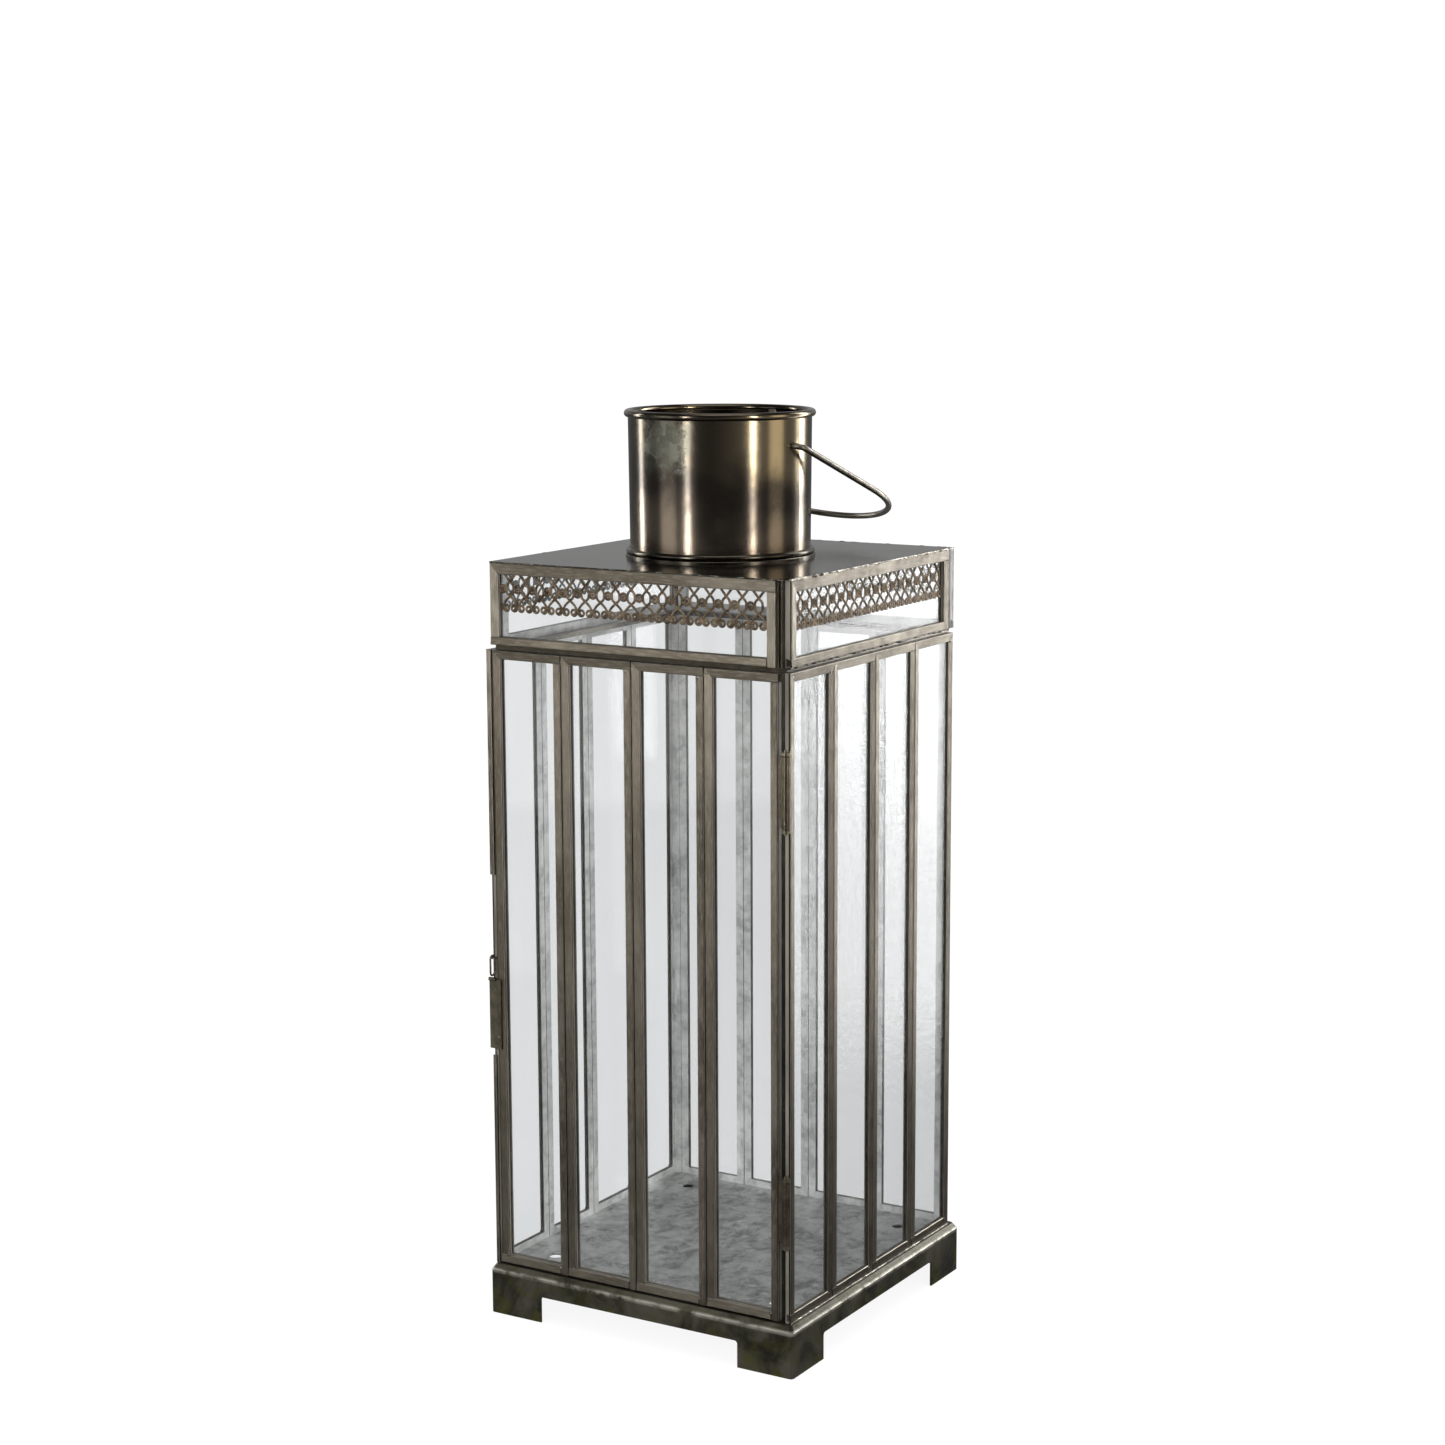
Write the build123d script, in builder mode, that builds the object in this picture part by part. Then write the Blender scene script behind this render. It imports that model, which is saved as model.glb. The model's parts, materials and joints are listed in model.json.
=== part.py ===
"""Candle lantern: a glazed square body on a bracket-footed plinth, a head with a pierced gallery,
a flat roof with an open chimney, a hinged front door, a drop catch and a wire bail handle.

Row frame: millimetres, +Z up, the front (the door) faces -Y, origin on the standing plane at the
centre of the plinth.
"""

from build123d import *
import os
from math import cos, radians, sin

os.makedirs("parts", exist_ok=True)

# ---- Driving dimensions -------------------------------------------------------------------

# Plinth
BASE = 230.0  # side of the square plinth
PLINTH_CORNER = 2.5  # plan radius of its corners
PLINTH_EDGE = 29.5  # height of the worn outer edge
DECK_TOP = 33.5  # height of the deck that carries the walls
DECK_INSET = 2.5  # the deck's slope runs in by this much
PLINTH_SHEET = 1.2
FOOT_LENGTH = 40.0  # each bracket foot, along both sides of its corner
SKIRT_BOTTOM = 17.5  # underside of the skirt between the feet
FOOT_FILLET = 2.0
DECK_OPENING = 192.0

# Body walls (outer planes) and heights
RIGHT_OUTER = 110.3
LEFT_OUTER = -113.3
BACK_OUTER = 110.3
FRONT_OUTER = -110.3
SIDE_WALL_HALF = 108.8  # the side walls run from -Y to +Y by this much
BACK_WALL_ENDS = (-104.0, 106.4)
WALL_TOP = 443.2
PANES = 4

# Door
DOOR_ENDS = (-109.2, 102.6)
DOOR_BOTTOM = 34.0
DOOR_TOP = 442.9

# Folded cames
CAME_WIDTH = 5.7
CAME_CANT = 0.45  # the outer face falls by this much towards the glass
CAME_EDGE = 0.6  # rounded outer edges
CAME_SHEET = 0.5
SEAM = 0.5  # gap between neighbouring cames
MITRE_GAP = 0.12
WALL_DEPTH = 3.8
WALL_RECESS = 1.6  # how far the glass lies behind the outer plane
WALL_GLASS = 1.6
DOOR_DEPTH = 6.0
DOOR_RECESS = 3.0
DOOR_GLASS = 2.0
GLASS_LET_IN = 2.6  # how far the glass enters a came

# Neck, head and roof
HEAD_HALF = 109.9
HEAD_SHORT = 102.7  # each head side stops here at its right-hand end
HEAD_FRONT_END = 100.3  # the front one stops sooner, and the right one starts later,
HEAD_RIGHT_START = -106.0  # which leaves an open notch at their corner
ROOF_CORNER = (8.9, 4.4)  # the roof is cut back above that notch
HEAD_BOTTOM = 446.3
HEAD_TOP = 499.0
HEAD_STILE = 6.3
HEAD_BOTTOM_RAIL = 5.3
HEAD_TOP_RAIL = 7.3
HEAD_DEPTH = 5.0
HEAD_RECESS = 2.6
HEAD_GLASS = 1.6
NECK_HALF = 107.5
NECK_OPENING = 196.0
ROOF_SHEET = 0.8
FLOOR_SHEET = 0.8
FLOOR_HOLE_RADIUS = 4.0
FLOOR_HOLE_SPACING = (169.0, 167.0)

# Pierced gallery
GALLERY_HEIGHT = 23.8
GALLERY_PITCH = 12.0
GALLERY_SHEET = 1.0
GALLERY_HOLE = (4.5, 8.0)
GALLERY_HOLE_DROP = 9.4
GALLERY_ARCH_DROP = 17.4
GALLERY_ARCH = (5.0, 5.0)

# Chimney
CHIMNEY_X = -3.2
CHIMNEY_Y = -1.9
CHIMNEY_INNER = 57.5
CHIMNEY_FOOT_RADIUS = 58.5
CHIMNEY_TOP_RADIUS = 59.4
CHIMNEY_FOOT = 6.0  # straight stretch inside the base ring
RIM_HEIGHT = 591.5
RIM_BEAD = 2.5
RING_BEAD = 2.0
RING_BEAD_LIFT = 3.4
RING_FLANGE = 3.1
RING_FLANGE_HEIGHT = 1.6

# Bail handle: it turns about a level axis through the chimney
BAIL_TURN = -6.9  # the axis is turned by this much from +X
BAIL_HEIGHT = 572.0
BAIL_LEAN = 112.4  # resting lean from upright, towards the back
BAIL_WIRE = 2.0
BAIL_HALF = 65.5
BAIL_ARM = 85.0
BAIL_EYE_BEND = 5.0
BAIL_END = 54.0
BAIL_HEAD = 3.2
BAIL_HEAD_LENGTH = 1.6
BAIL_HOLE = 2.35

# Door hinges
HINGE_X = 108.9
HINGE_Y = -111.8
SLEEVE_RADIUS = 2.7
SLEEVE_BORE = 1.3
PIN_RADIUS = 1.22
PIN_END = 1.0
HINGE_SPANS = ((83.0, 129.0), (346.0, 396.0))
LUG_HEIGHT = 2.4
HINGE_GAP = 0.3
LEAF = 0.8
LEAF_Y = -109.5

JAMB = (104.0, 3.3)  # left side and depth of the strip beside the door's hinges

# Catch
BEAD_FRONT = 1.8
BEAD_WIDTHS = (2.5, 3.5)
BEAD_SPANS = ((DECK_TOP, 175.0), (296.0, WALL_TOP))
HASP_SPAN = (180.0, 226.5)
HASP_LEFT = -114.6
HASP_RIGHT = -105.6
HASP_SHEET = 1.0
HASP_LIP = 4.2
HASP_LIP_SHEET = 0.7
HASP_CURL = 1.2
RIVET_RADIUS = 1.3
RIVET_HEIGHT = 0.7
RIVET_X = -107.4
RIVET_Z = 188.0
CATCH_X = (LEFT_OUTER + LEFT_OUTER + WALL_DEPTH) / 2
CATCH_Y = -112.0
CATCH_Z = 240.6
STAPLE_WIRE = 0.5
STAPLE_HALF = 1.5
LOOP_WIRE = 0.65
LOOP_HALF_WIDTH = 2.2
LOOP_TOP = 1.5
LOOP_LENGTH = 13.2

UP = Vector(0, 0, 1)


# ---- Shared helpers -----------------------------------------------------------------------


def save(part, name):
    """Label a finished piece and write it as parts/NAME.step."""
    part.label = name
    export_step(part, f"parts/{name}.step")


class Wall:
    """A glazed side: its outer plane, its ends along it (seen from outside, left to right),
    its height and the section of its cames."""

    def __init__(self, outer, turn, ends, bottom, top, panes, depth, recess, glass):
        self.right = Vector(cos(radians(turn)), sin(radians(turn)), 0)
        self.out = self.right.cross(UP)
        self.origin = self.out * outer
        self.ends = ends
        self.bottom = bottom
        self.top = top
        self.panes = panes
        self.depth = depth
        self.recess = recess
        self.glass = glass
        self.stile = CAME_WIDTH
        self.low_rail = CAME_WIDTH
        self.high_rail = CAME_WIDTH

    def point(self, along, height):
        return self.origin + self.right * along + UP * height

    def pane_ends(self):
        """Left and right edge of each pane's frame."""
        pitch = (self.ends[1] - self.ends[0]) / self.panes
        lefts = [self.ends[0] + i * pitch for i in range(self.panes)]
        if self.panes == 1:
            return [self.ends]
        return [(left + SEAM / 2, left + pitch - SEAM / 2) for left in lefts]

    def face_plane(self, inward=0.0):
        """The wall's own plane: x along it, y up, z outwards."""
        return Plane(self.origin - self.out * inward, x_dir=self.right, z_dir=self.out)


def came_profile(width, wall):
    """Section of a folded came, open towards the glass. x runs from its outer edge to the pane,
    and y runs inwards from the wall's outer plane."""
    corners = [(0, 0), (width, CAME_CANT), (width, wall.depth), (0, wall.depth)]
    with BuildLine() as outline:
        Polyline(*corners, close=True)
    make_face(outline.edges())
    fillet(vertices().group_by(Axis.Y)[0] + vertices().group_by(Axis.Y)[1], CAME_EDGE)
    offset(amount=-CAME_SHEET, kind=Kind.INTERSECTION, mode=Mode.SUBTRACT)
    with Locations((width, wall.recess + wall.glass / 2)):
        Rectangle(4 * CAME_SHEET, wall.glass, mode=Mode.SUBTRACT)


def stiles(wall):
    """Upright cames. The left one of each pane stands on the bottom rail and is mitred into the
    top rail; the right one runs from the wall's foot up to the top rail."""
    low, high = wall.bottom + wall.low_rail, wall.top - wall.high_rail
    lefts = [Plane(wall.point(a, low), x_dir=wall.right, z_dir=UP) for a, _ in wall.pane_ends()]
    rights = [Plane(wall.point(b, high), x_dir=-wall.right, z_dir=-UP) for _, b in wall.pane_ends()]
    with BuildPart() as part:
        with BuildSketch(*lefts):
            came_profile(wall.stile, wall)
        extrude(amount=wall.top - low)
        with BuildSketch(wall.face_plane()):
            for a, _ in wall.pane_ends():
                with BuildLine():
                    Polyline((a, wall.top), (a + wall.stile, wall.top), (a + wall.stile, high), close=True)
                make_face()
        extrude(amount=-wall.depth, mode=Mode.SUBTRACT)
        with BuildSketch(*rights):
            came_profile(wall.stile, wall)
        extrude(amount=high - wall.bottom)
    return part.part


def rails(wall):
    """Level cames. The top one runs from the mitre to the pane's right edge, and the bottom one
    from its left edge to the right stile."""
    high = wall.top - wall.high_rail
    tops = [Plane(wall.point(a, wall.top), x_dir=-UP, z_dir=wall.right) for a, _ in wall.pane_ends()]
    lows = [
        Plane(wall.point(b - wall.stile, wall.bottom), x_dir=UP, z_dir=-wall.right)
        for _, b in wall.pane_ends()
    ]
    width = wall.pane_ends()[0][1] - wall.pane_ends()[0][0]
    with BuildPart() as part:
        with BuildSketch(*tops):
            came_profile(wall.high_rail, wall)
        extrude(amount=width)
        with BuildSketch(wall.face_plane()):
            for a, _ in wall.pane_ends():
                inner = a + wall.stile + MITRE_GAP
                with BuildLine():
                    Polyline((a, wall.top), (a + MITRE_GAP, wall.top), (inner, high), (a, high), close=True)
                make_face()
        extrude(amount=-wall.depth, mode=Mode.SUBTRACT)
        with BuildSketch(*lows):
            came_profile(wall.low_rail, wall)
        extrude(amount=width - wall.stile)
    return part.part


def panes(wall):
    """Glass panes, let into the cames on all four edges."""
    let = wall.stile - GLASS_LET_IN
    low = wall.bottom + wall.low_rail - GLASS_LET_IN
    high = wall.top - wall.high_rail + GLASS_LET_IN
    with BuildPart() as part:
        with BuildSketch(wall.face_plane(wall.recess)):
            for a, b in wall.pane_ends():
                with Locations(((a + b) / 2, (low + high) / 2)):
                    Rectangle(b - a - 2 * let, high - low)
        extrude(amount=-wall.glass)
    return part.part


def glazed_wall(name, wall):
    """Write one wall's stiles, rails and glass."""
    save(stiles(wall), f"{name}_stiles")
    save(rails(wall), f"{name}_rails")
    save(panes(wall), f"{name}_glass")


def turned(angle, height):
    """A level plane at the given height, turned about the origin."""
    return Plane((0, 0, height), x_dir=(cos(radians(angle)), sin(radians(angle)), 0), z_dir=UP)


# ---- Plinth and floor ---------------------------------------------------------------------

with BuildPart() as plinth:
    inner = BASE - 2 * PLINTH_SHEET
    deck = BASE - 2 * DECK_INSET
    with BuildSketch():
        RectangleRounded(BASE, BASE, PLINTH_CORNER)
    extrude(amount=PLINTH_EDGE)
    with BuildSketch(Plane.XY.offset(PLINTH_EDGE)):
        RectangleRounded(BASE, BASE, PLINTH_CORNER)
    with BuildSketch(Plane.XY.offset(DECK_TOP)):
        RectangleRounded(deck, deck, PLINTH_CORNER)
    loft()
    with BuildSketch():
        RectangleRounded(inner, inner, PLINTH_CORNER - PLINTH_SHEET / 2)
    extrude(amount=PLINTH_EDGE - PLINTH_SHEET, mode=Mode.SUBTRACT)
    with BuildSketch(Plane.XY.offset(PLINTH_EDGE - PLINTH_SHEET)):
        RectangleRounded(inner - DECK_INSET, inner - DECK_INSET, PLINTH_CORNER)
    extrude(amount=DECK_TOP - PLINTH_EDGE, mode=Mode.SUBTRACT)
    with BuildSketch(Plane.XY.offset(PLINTH_EDGE)):
        Rectangle(DECK_OPENING, DECK_OPENING)
    extrude(amount=DECK_TOP, mode=Mode.SUBTRACT)
    for side in (Plane.XZ, Plane.YZ):
        with BuildSketch(side):
            RectangleRounded(BASE - 2 * FOOT_LENGTH, 2 * SKIRT_BOTTOM, FOOT_FILLET)
        extrude(amount=BASE, both=True, mode=Mode.SUBTRACT)
save(plinth.part, "plinth")

FLOOR_LEFT = LEFT_OUTER + WALL_DEPTH
FLOOR_RIGHT = RIGHT_OUTER - WALL_DEPTH
FLOOR_FRONT = FRONT_OUTER + DOOR_DEPTH + HINGE_GAP
FLOOR_BACK = BACK_OUTER - WALL_DEPTH
with BuildPart() as floor_plate:
    with BuildSketch(Plane.XY.offset(DECK_TOP)):
        with Locations(((FLOOR_LEFT + FLOOR_RIGHT) / 2, (FLOOR_FRONT + FLOOR_BACK) / 2)):
            Rectangle(FLOOR_RIGHT - FLOOR_LEFT, FLOOR_BACK - FLOOR_FRONT)
        with GridLocations(*FLOOR_HOLE_SPACING, 2, 2):
            Circle(FLOOR_HOLE_RADIUS, mode=Mode.SUBTRACT)
    extrude(amount=FLOOR_SHEET)
save(floor_plate.part, "floor_plate")

# ---- Body walls and door ------------------------------------------------------------------

wall_section = (DECK_TOP, WALL_TOP, PANES, WALL_DEPTH, WALL_RECESS, WALL_GLASS)
side_ends = (-SIDE_WALL_HALF, SIDE_WALL_HALF)
back_ends = (-BACK_WALL_ENDS[1], -BACK_WALL_ENDS[0])
glazed_wall("right_wall", Wall(RIGHT_OUTER, 90, side_ends, *wall_section))
glazed_wall("back_wall", Wall(BACK_OUTER, 180, back_ends, *wall_section))
glazed_wall("left_wall", Wall(-LEFT_OUTER, 270, side_ends, *wall_section))

door = Wall(-FRONT_OUTER, 0, DOOR_ENDS, DOOR_BOTTOM, DOOR_TOP, PANES, DOOR_DEPTH, DOOR_RECESS, DOOR_GLASS)
glazed_wall("door", door)

with BuildPart() as corner_post:
    post_left = LEFT_OUTER + WALL_DEPTH
    post_right = BACK_WALL_ENDS[0]
    with BuildSketch(Plane.XY.offset(DECK_TOP)):
        with Locations(((post_left + post_right) / 2, BACK_OUTER - WALL_DEPTH / 2)):
            Rectangle(post_right - post_left, WALL_DEPTH)
        offset(amount=-CAME_SHEET, mode=Mode.SUBTRACT)
    extrude(amount=WALL_TOP - DECK_TOP)
save(corner_post.part, "corner_post")

# ---- Neck, head, gallery and roof ---------------------------------------------------------

with BuildPart() as neck_frame:
    with BuildSketch(Plane.XY.offset(WALL_TOP)):
        Rectangle(2 * NECK_HALF, 2 * NECK_HALF)
        Rectangle(NECK_OPENING, NECK_OPENING, mode=Mode.SUBTRACT)
    extrude(amount=HEAD_BOTTOM - WALL_TOP)
save(neck_frame.part, "neck_frame")


def head_side(turn, ends):
    """One side of the head, like the others but turned about the lantern's centre."""
    side = Wall(HEAD_HALF, turn, ends, HEAD_BOTTOM, HEAD_TOP, 1, HEAD_DEPTH, HEAD_RECESS, HEAD_GLASS)
    side.stile = HEAD_STILE
    side.low_rail = HEAD_BOTTOM_RAIL
    side.high_rail = HEAD_TOP_RAIL
    return side


def gallery(side):
    """Pierced strip under the head's top rail, lying on the glass, with a scalloped lower edge."""
    left = side.ends[0] + side.stile
    right = side.ends[1] - side.stile
    middle = (left + right) / 2
    top = side.top - side.high_rail
    count = int((right - left) / GALLERY_PITCH)
    scallops = (right - left) / GALLERY_PITCH
    with BuildPart() as part:
        with BuildSketch(side.face_plane(side.recess - GALLERY_SHEET)):
            with Locations((middle, top - (GALLERY_HEIGHT - GALLERY_ARCH[1] / 2) / 2)):
                Rectangle(right - left, GALLERY_HEIGHT - GALLERY_ARCH[1] / 2)
            with Locations((middle, top - GALLERY_HEIGHT + GALLERY_ARCH[1] / 2)):
                with GridLocations(GALLERY_PITCH / 2, 0, 2 * int(scallops), 1):
                    Circle(GALLERY_ARCH[1] / 2)
            with Locations((middle, top - GALLERY_HOLE_DROP)):
                with GridLocations(GALLERY_PITCH, 0, count, 1):
                    SlotOverall(GALLERY_HOLE[1], GALLERY_HOLE[0], rotation=90, mode=Mode.SUBTRACT)
            with Locations((middle, top - GALLERY_ARCH_DROP)):
                with GridLocations(GALLERY_PITCH, 0, count, 1):
                    Rectangle(*GALLERY_ARCH, rotation=45, mode=Mode.SUBTRACT)
        extrude(amount=-GALLERY_SHEET)
    return part.part


head_sides = {
    "front": (0, (-HEAD_HALF, HEAD_FRONT_END)),
    "right": (90, (HEAD_RIGHT_START, HEAD_SHORT)),
    "back": (180, (-HEAD_HALF, HEAD_SHORT)),
    "left": (270, (-HEAD_HALF, HEAD_SHORT)),
}
for side_name, (side_turn, side_span) in head_sides.items():
    head = head_side(side_turn, side_span)
    save(stiles(head), f"head_{side_name}_stiles")
    save(rails(head), f"head_{side_name}_rails")
    save(panes(head), f"head_{side_name}_glass")
    save(gallery(head), f"gallery_{side_name}")

with BuildPart() as head_posts:
    post_right = HEAD_HALF - HEAD_DEPTH
    for quarter, (_, side_end) in head_sides.values():
        post = post_right - side_end
        with BuildSketch(turned(quarter, HEAD_BOTTOM)):
            with Locations((post_right - post / 2, HEAD_DEPTH - HEAD_HALF)):
                Rectangle(post, HEAD_DEPTH / 2, align=(Align.CENTER, Align.MAX))
                with Locations((0, -HEAD_DEPTH / 2)):
                    with GridLocations(post / 2, 0, 2, 1):
                        Circle(post / 4)
    extrude(amount=HEAD_TOP - HEAD_BOTTOM)
save(head_posts.part, "head_corner_posts")

with BuildPart() as roof_plate:
    with BuildSketch(Plane.XY.offset(HEAD_TOP)):
        Rectangle(2 * HEAD_HALF, 2 * HEAD_HALF)
        with BuildLine():
            Polyline(
                (HEAD_HALF - ROOF_CORNER[0], -HEAD_HALF),
                (HEAD_HALF, -HEAD_HALF),
                (HEAD_HALF, ROOF_CORNER[1] - HEAD_HALF),
                close=True,
            )
        make_face(mode=Mode.SUBTRACT)
        with Locations((CHIMNEY_X, CHIMNEY_Y)):
            Circle(CHIMNEY_INNER, mode=Mode.SUBTRACT)
    extrude(amount=ROOF_SHEET)
save(roof_plate.part, "roof_plate")

# ---- Chimney ------------------------------------------------------------------------------

ROOF_TOP = HEAD_TOP + ROOF_SHEET
chimney_axis = Axis((CHIMNEY_X, CHIMNEY_Y, 0), UP)
chimney_section = Plane((CHIMNEY_X, CHIMNEY_Y, 0), x_dir=(1, 0, 0), z_dir=(0, -1, 0))
bail_right = Vector(cos(radians(BAIL_TURN)), sin(radians(BAIL_TURN)), 0)
bail_centre = Vector(CHIMNEY_X, CHIMNEY_Y, BAIL_HEIGHT)

with BuildPart() as chimney_tube:
    with BuildSketch(chimney_section):
        with BuildLine():
            Polyline(
                (CHIMNEY_INNER, ROOF_TOP),
                (CHIMNEY_FOOT_RADIUS, ROOF_TOP),
                (CHIMNEY_FOOT_RADIUS, ROOF_TOP + CHIMNEY_FOOT),
                (CHIMNEY_TOP_RADIUS, RIM_HEIGHT),
                (CHIMNEY_INNER, RIM_HEIGHT),
                close=True,
            )
        make_face()
        with Locations((CHIMNEY_TOP_RADIUS, RIM_HEIGHT)):
            Circle(RIM_BEAD)
    revolve(axis=chimney_axis)
    with BuildSketch(Plane(bail_centre, x_dir=UP, z_dir=bail_right)):
        Circle(BAIL_HOLE)
    extrude(amount=BAIL_HALF, both=True, mode=Mode.SUBTRACT)
save(chimney_tube.part, "chimney_tube")

with BuildPart() as chimney_ring:
    with BuildSketch(chimney_section):
        with Locations((CHIMNEY_FOOT_RADIUS + RING_FLANGE / 2, ROOF_TOP + RING_FLANGE_HEIGHT / 2)):
            Rectangle(RING_FLANGE, RING_FLANGE_HEIGHT)
        with Locations((CHIMNEY_FOOT_RADIUS + RING_BEAD / 3, ROOF_TOP + RING_BEAD_LIFT)):
            Circle(RING_BEAD)
        with Locations((CHIMNEY_FOOT_RADIUS - RING_BEAD, ROOF_TOP + RING_BEAD_LIFT)):
            Rectangle(2 * RING_BEAD, 4 * RING_BEAD, mode=Mode.SUBTRACT)
    revolve(axis=chimney_axis)
    fillet(chimney_ring.edges().filter_by(GeomType.CIRCLE).sort_by(SortBy.RADIUS)[-1], RING_FLANGE_HEIGHT / 3)
save(chimney_ring.part, "chimney_base_ring")

# ---- Bail handle --------------------------------------------------------------------------

bail_along = Vector(0, 0, cos(radians(BAIL_LEAN))) + UP.cross(bail_right) * sin(radians(BAIL_LEAN))
bail_plane = Plane(bail_centre, x_dir=bail_right, z_dir=bail_right.cross(bail_along))

with BuildPart() as bail_handle:
    with BuildLine(bail_plane) as bail_line:
        left_arm = FilletPolyline(
            (-BAIL_END, 0), (-BAIL_HALF, 0), (-BAIL_HALF, BAIL_ARM), radius=BAIL_EYE_BEND
        )
        crown = RadiusArc((-BAIL_HALF, BAIL_ARM), (BAIL_HALF, BAIL_ARM), BAIL_HALF)
        right_arm = FilletPolyline(
            (BAIL_HALF, BAIL_ARM), (BAIL_HALF, 0), (BAIL_END, 0), radius=BAIL_EYE_BEND
        )
    with BuildSketch(Plane(bail_line.line @ 0, z_dir=bail_line.line % 0)):
        Circle(BAIL_WIRE)
    sweep()
    for side in (-1, 1):
        with BuildSketch(Plane(bail_centre + bail_right * side * BAIL_END, z_dir=bail_right * -side)):
            Circle(BAIL_HEAD)
        extrude(amount=BAIL_HEAD_LENGTH)
save(bail_handle.part, "bail_handle")

# ---- Door hinges --------------------------------------------------------------------------


with BuildPart() as hinge_sleeves:
    for low, high in HINGE_SPANS:
        sleeve_low = low + LUG_HEIGHT + HINGE_GAP
        sleeve_length = high - low - 2 * (LUG_HEIGHT + HINGE_GAP)
        leaf_right = HINGE_X - SLEEVE_BORE
        with BuildSketch(Plane((0, 0, sleeve_low))):
            with Locations(((DOOR_ENDS[1] - SEAM / 2 + leaf_right) / 2, LEAF_Y)):
                Rectangle(leaf_right - DOOR_ENDS[1] + SEAM / 2, LEAF)
            with Locations((HINGE_X, HINGE_Y)):
                Circle(SLEEVE_RADIUS)
                Circle(SLEEVE_BORE, mode=Mode.SUBTRACT)
        extrude(amount=sleeve_length)
save(hinge_sleeves.part, "hinge_sleeves")

with BuildPart() as hinge_lugs:
    for low, high in HINGE_SPANS:
        for lug_low in (low, high - LUG_HEIGHT):
            with BuildSketch(Plane((0, 0, lug_low))):
                with Locations((HINGE_X, (HINGE_Y - SIDE_WALL_HALF) / 2)):
                    Rectangle(SLEEVE_RADIUS, -SIDE_WALL_HALF - HINGE_Y)
                with Locations((HINGE_X, HINGE_Y)):
                    Circle(SLEEVE_RADIUS)
                    Circle(PIN_RADIUS, mode=Mode.SUBTRACT)
            extrude(amount=LUG_HEIGHT)
save(hinge_lugs.part, "hinge_lugs")

with BuildPart() as hinge_pins:
    for low, high in HINGE_SPANS:
        with BuildSketch(Plane((HINGE_X, HINGE_Y, low - PIN_END))):
            Circle(PIN_RADIUS)
        extrude(amount=high - low + 2 * PIN_END)
save(hinge_pins.part, "hinge_pins")

with BuildPart() as hinge_jamb:
    jamb_left, jamb_depth = JAMB
    jamb_width = RIGHT_OUTER - WALL_DEPTH - jamb_left
    with BuildSketch(Plane.XY.offset(DECK_TOP)):
        with Locations((jamb_left + jamb_width / 2, -SIDE_WALL_HALF + jamb_depth / 2)):
            Rectangle(jamb_width, jamb_depth)
            offset(amount=-CAME_SHEET, mode=Mode.SUBTRACT)
    extrude(amount=WALL_TOP - DECK_TOP)
save(hinge_jamb.part, "hinge_jamb")

# ---- Closing beads, hasp and catch --------------------------------------------------------

with BuildPart() as closing_beads:
    for width, (low, high) in zip(BEAD_WIDTHS, BEAD_SPANS):
        with BuildSketch(Plane.XY.offset(low)):
            with Locations((LEFT_OUTER + width / 2, -SIDE_WALL_HALF - BEAD_FRONT / 2)):
                RectangleRounded(width, BEAD_FRONT, BEAD_FRONT / 3)
        extrude(amount=high - low)
save(closing_beads.part, "closing_beads")

with BuildPart() as hasp:
    low, high = HASP_SPAN
    with BuildSketch(Plane.XY.offset(low)):
        with Locations(((HASP_LEFT + HASP_RIGHT) / 2, FRONT_OUTER - HASP_SHEET / 2)):
            Rectangle(HASP_RIGHT - HASP_LEFT, HASP_SHEET)
        with Locations((HASP_LEFT + HASP_LIP_SHEET / 2, FRONT_OUTER + (HASP_LIP - HASP_SHEET) / 2)):
            Rectangle(HASP_LIP_SHEET, HASP_LIP + HASP_SHEET)
    extrude(amount=high - low)
    with BuildSketch(Plane((HASP_LEFT, FRONT_OUTER - HASP_SHEET, high), x_dir=(0, 1, 0), z_dir=(1, 0, 0))):
        Circle(HASP_CURL)
    extrude(amount=DOOR_ENDS[0] - HASP_LEFT)
save(hasp.part, "hasp")

with BuildPart() as hasp_rivet:
    with BuildSketch(Plane((RIVET_X, FRONT_OUTER - HASP_SHEET, RIVET_Z), x_dir=(1, 0, 0), z_dir=(0, -1, 0))):
        Circle(RIVET_RADIUS)
    extrude(amount=RIVET_HEIGHT)
    fillet(hasp_rivet.faces().sort_by(Axis.Y)[0].edges(), RIVET_HEIGHT * 0.7)
save(hasp_rivet.part, "hasp_rivet")

with BuildPart() as catch_staple:
    wall_front = -SIDE_WALL_HALF
    with BuildLine(Plane((CATCH_X, 0, CATCH_Z))) as staple_line:
        FilletPolyline(
            (-STAPLE_HALF, wall_front),
            (-STAPLE_HALF, CATCH_Y),
            (STAPLE_HALF, CATCH_Y),
            (STAPLE_HALF, wall_front),
            radius=STAPLE_WIRE * 1.3,
        )
    with BuildSketch(Plane(staple_line.line @ 0, z_dir=staple_line.line % 0)):
        Circle(STAPLE_WIRE)
    sweep()
save(catch_staple.part, "catch_staple")

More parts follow.
